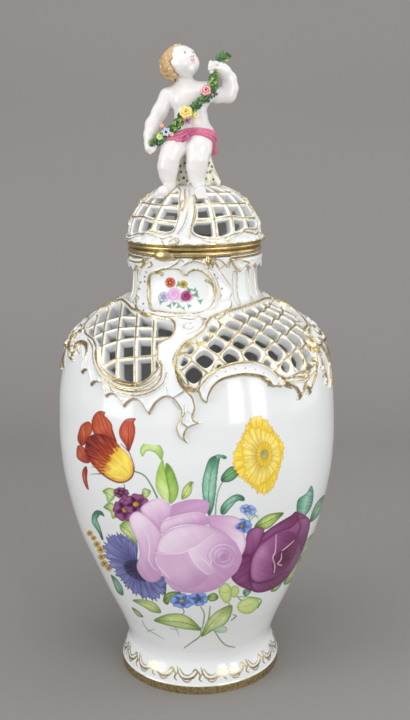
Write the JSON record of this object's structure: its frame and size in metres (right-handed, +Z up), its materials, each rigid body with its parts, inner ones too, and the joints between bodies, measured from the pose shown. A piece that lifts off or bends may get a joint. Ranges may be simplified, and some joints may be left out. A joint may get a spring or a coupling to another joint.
{
  "type": "potpourri vase",
  "caption": "Footed porcelain potpourri vase with a pierced shoulder and a lift-off pierced lid that carries a putto with a flower garland.",
  "frame": {"origin": "centre of the foot's underside", "axes": "+Z up along the vase's axis; the front with the large bouquet faces -Y"},
  "size_m": [0.2288, 0.2248, 0.5029],
  "materials": {
    "porcelain_white": "glossy",
    "gilding": "polished",
    "flesh": "glossy",
    "hair": "glossy",
    "sash_pink": "glossy",
    "leaf_green": "glossy",
    "red_enamel": "glossy",
    "yellow_enamel": "glossy",
    "purple_enamel": "glossy",
    "blue_enamel": "glossy"
  },
  "bodies": {
    "vase": {"foot_ring": "porcelain_white", "body_belly": "porcelain_white", "body_shoulder": "porcelain_white", "neck_collar": "porcelain_white", "neck_rim": "gilding", "square_frame_front": "porcelain_white", "square_frame_rear": "porcelain_white", "diamond_frame_front": "porcelain_white", "diamond_frame_rear": "porcelain_white", "shell_scroll_front": "porcelain_white", "shell_scroll_rear": "porcelain_white", "side_crest_right": "porcelain_white", "side_crest_left": "porcelain_white", "cartouche_front": "porcelain_white", "cartouche_rear": "porcelain_white"},
    "lid": {"lid_collar": "porcelain_white", "lid_rim": "gilding", "lid_border": "porcelain_white", "lid_dome": "porcelain_white", "lid_ribs": "porcelain_white", "tree_stump": "porcelain_white", "putto_torso": "flesh", "putto_head": "flesh", "putto_hair": "hair", "putto_right_arm": "flesh", "putto_left_arm": "flesh", "putto_right_leg": "flesh", "putto_left_leg": "flesh", "sash": "sash_pink", "garland": "leaf_green", "red_rose": "red_enamel", "yellow_rose": "yellow_enamel", "purple_blossom": "purple_enamel", "blue_blossom": "blue_enamel"}
  },
  "joints": [
    {"name": "lid_lift", "type": "slide", "parent": "vase", "child": "lid", "axis": [0, 0, 1], "range_m": [0, 0.2]}
  ]
}
